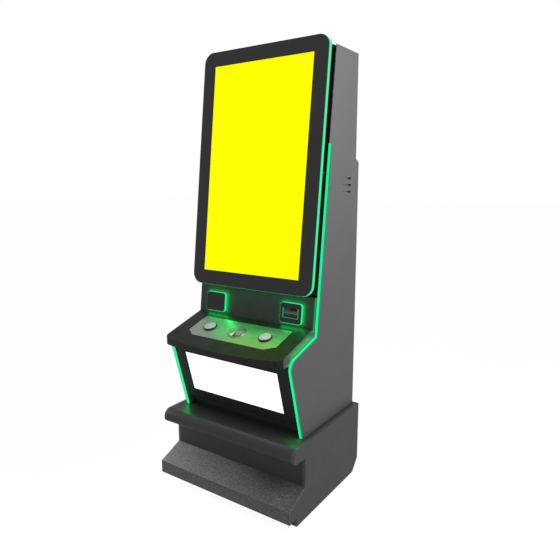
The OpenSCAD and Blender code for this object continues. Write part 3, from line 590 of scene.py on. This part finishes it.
# The backdrop looks white. The light that it gives is dimmer than that, and a little stronger from above than
# from below.
SKY_LOW, SKY_LOW_Z = 0.42, -0.3
SKY_HIGH, SKY_HIGH_Z = 0.46, 0.6
world = bpy.data.worlds.new("studio")
scene.world = world
world.use_nodes = True
sky = world.node_tree
backdrop = sky.nodes["Background"]
backdrop.inputs["Color"].default_value = (1, 1, 1, 1)
direction = sky.nodes.new("ShaderNodeTexCoord")
parts = sky.nodes.new("ShaderNodeSeparateXYZ")
sky.links.new(direction.outputs["Generated"], parts.inputs[0])
fall = sky.nodes.new("ShaderNodeMapRange")
fall.inputs["From Min"].default_value = SKY_LOW_Z
fall.inputs["From Max"].default_value = SKY_HIGH_Z
fall.inputs["To Min"].default_value = SKY_LOW
fall.inputs["To Max"].default_value = SKY_HIGH
sky.links.new(parts.outputs["Z"], fall.inputs["Value"])
path = sky.nodes.new("ShaderNodeLightPath")
seen = sky.nodes.new("ShaderNodeMix")
sky.links.new(path.outputs["Is Camera Ray"], seen.inputs[0])
sky.links.new(fall.outputs["Result"], seen.inputs[2])
seen.inputs[3].default_value = 1.0
sky.links.new(seen.outputs[0], backdrop.inputs["Strength"])


def area_lamp(name, width, height, power):
    data = bpy.data.lights.new(name, "AREA")
    data.shape = "RECTANGLE"
    data.size, data.size_y = width, height
    data.energy = power
    return shown_object(name, data)


def softbox(name, location, target, size, power):
    lamp = area_lamp(name, *size, power)
    aim(lamp, location, Vector(target) - Vector(location))
    return lamp


FLOOR_HALF = 40.0
FLOOR_CORNERS = [(-FLOOR_HALF, -FLOOR_HALF, 0), (FLOOR_HALF, -FLOOR_HALF, 0), (FLOOR_HALF, FLOOR_HALF, 0),
                 (-FLOOR_HALF, FLOOR_HALF, 0)]
floor_mesh = bpy.data.meshes.new("floor")
floor_mesh.from_pydata(FLOOR_CORNERS, [], [(0, 1, 2, 3)])
floor = shown_object("floor", floor_mesh)
floor_shader = Shader("floor")
floor_shader.put(Roughness=0.9, Specular_IOR_Level=0.0, Emission_Color=(1, 1, 1, 1), Emission_Strength=0.94)
floor_shader.base(
    floor_shader.mixed(floor_shader.ranged(floor_shader.noise(0.8), 0, 1), (0.1, 0.1, 0.1), (0.11, 0.11, 0.11)))
floor_mesh.materials.append(floor_shader.material)
floor.visible_diffuse = False
floor.visible_glossy = False

# A soft main light from the right, and a narrow one from the left along the footrest's slope.
softbox("key", (1.64, 0.1, 2.15), (0.34, 0.1, 1.5), (1.0, 1.0), 23.0)
low_left = softbox("low_left", (-2.0, -0.3, 0.65), (-0.22, -0.26, 0.07), (0.7, 0.3), 1.5)
low_left.data.spread = math.radians(14)

# The green light that the strips and frames throw on what is beside them.
GLOW = (0.004, 1.0, 0.1)
WORLD = Matrix.Identity(4)


def glow(name, place, start, end, facing, width, radiance, body):
    """A thin hidden lamp from start to end, both in the frame given by place, shining along facing."""
    a, b = place @ (Vector(start) * MM), place @ (Vector(end) * MM)
    along = (b - a).normalized()
    side = along.cross(place.to_3x3() @ Vector(facing)).normalized()
    out = side.cross(along)
    length = (b - a).length
    lamp = area_lamp(name, length, width * MM, radiance * math.pi * length * width * MM)
    lamp.data.color = GLOW
    lamp.matrix_world = Matrix.Translation((a + b) / 2) @ Matrix((along, side, -out)).transposed().to_4x4()
    lamp.visible_camera = False
    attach(lamp, body)


# Start, end, distance from the centre and strength of each straight run of a side strip.
STRIP_RUNS = [
    ((-158, 352), (-243, 665), 324, 4.0),
    ((-243, 690), (-205, 722), 324, 3.0),
    ((-205, 722), (-48, 768), 334, 9.0),
    ((-37, 790), (60, 1580), 324, 3.0),
]
STRIP_GLOW_W = 6
# The strips' lower ends, which light the base's nose.
FOOT_X0, FOOT_X1, FOOT_Y, FOOT_Z = 290, 332, -182, 392
FOOT_GLOW_W, FOOT_GLOW = 24, 5.0
WINDOW_LAMP_Y, WINDOW_GLOW_W, WINDOW_GLOW = 45.5, 10, 7.6
for side in (-1, 1):
    for i, ((y0, z0), (y1, z1), x, radiance) in enumerate(STRIP_RUNS):
        rise = Vector((0, y1 - y0, z1 - z0)).normalized()
        ahead = Vector((0, -rise.z, rise.y))
        glow(f"strip_glow_{i}_{side}", WORLD, (side * x, y0, z0), (side * x, y1, z1),
             ahead + Vector((-side, 0, 0)), STRIP_GLOW_W, radiance, "cabinet")
    glow(f"strip_end_glow_{side}", WORLD, (side * FOOT_X0, FOOT_Y, FOOT_Z), (side * FOOT_X1, FOOT_Y, FOOT_Z),
         (0, -0.5, -1), FOOT_GLOW_W, FOOT_GLOW, "cabinet")
for side in (-1, 1):
    x0, x1 = side * WINDOW_X - WINDOW_HALF_W, side * WINDOW_X + WINDOW_HALF_W
    z0, z1 = WINDOW_Z - WINDOW_HALF_H, WINDOW_Z + WINDOW_HALF_H
    for label, (start_x, start_z), (end_x, end_z), facing in (
            ("top", (x0, z1), (x1, z1), (0, 0, 1)),
            ("low", (x0, z0), (x1, z0), (0, 0, -1)),
            ("left", (x0, z0), (x0, z1), (-1, 0, 0)),
            ("right", (x1, z0), (x1, z1), (1, 0, 0))):
        glow(f"window_glow_{label}_{side}", DISPLAY, (start_x, WINDOW_LAMP_Y, start_z),
             (end_x, WINDOW_LAMP_Y, end_z), facing, WINDOW_GLOW_W, WINDOW_GLOW, "cabinet")

# Under the display's lower edge and beside its upright edges.
LOW_HALF, LOW_Z = 290, -2
UPRIGHT_X, UPRIGHT_Z0, UPRIGHT_Z1 = 335, 40, 1030
DISPLAY_LAMP_Y, DISPLAY_GLOW_W = 12, 14
glow("display_glow_low", DISPLAY, (-LOW_HALF, DISPLAY_LAMP_Y, LOW_Z), (LOW_HALF, DISPLAY_LAMP_Y, LOW_Z),
     (0, 0, -1), DISPLAY_GLOW_W, 6.0, "display")
for side, label in ((1, "right"), (-1, "left")):
    x = side * UPRIGHT_X
    glow(f"display_glow_{label}", DISPLAY, (x, DISPLAY_LAMP_Y, UPRIGHT_Z0), (x, DISPLAY_LAMP_Y, UPRIGHT_Z1),
         (side, 0, 0), DISPLAY_GLOW_W, 2.0, "display")
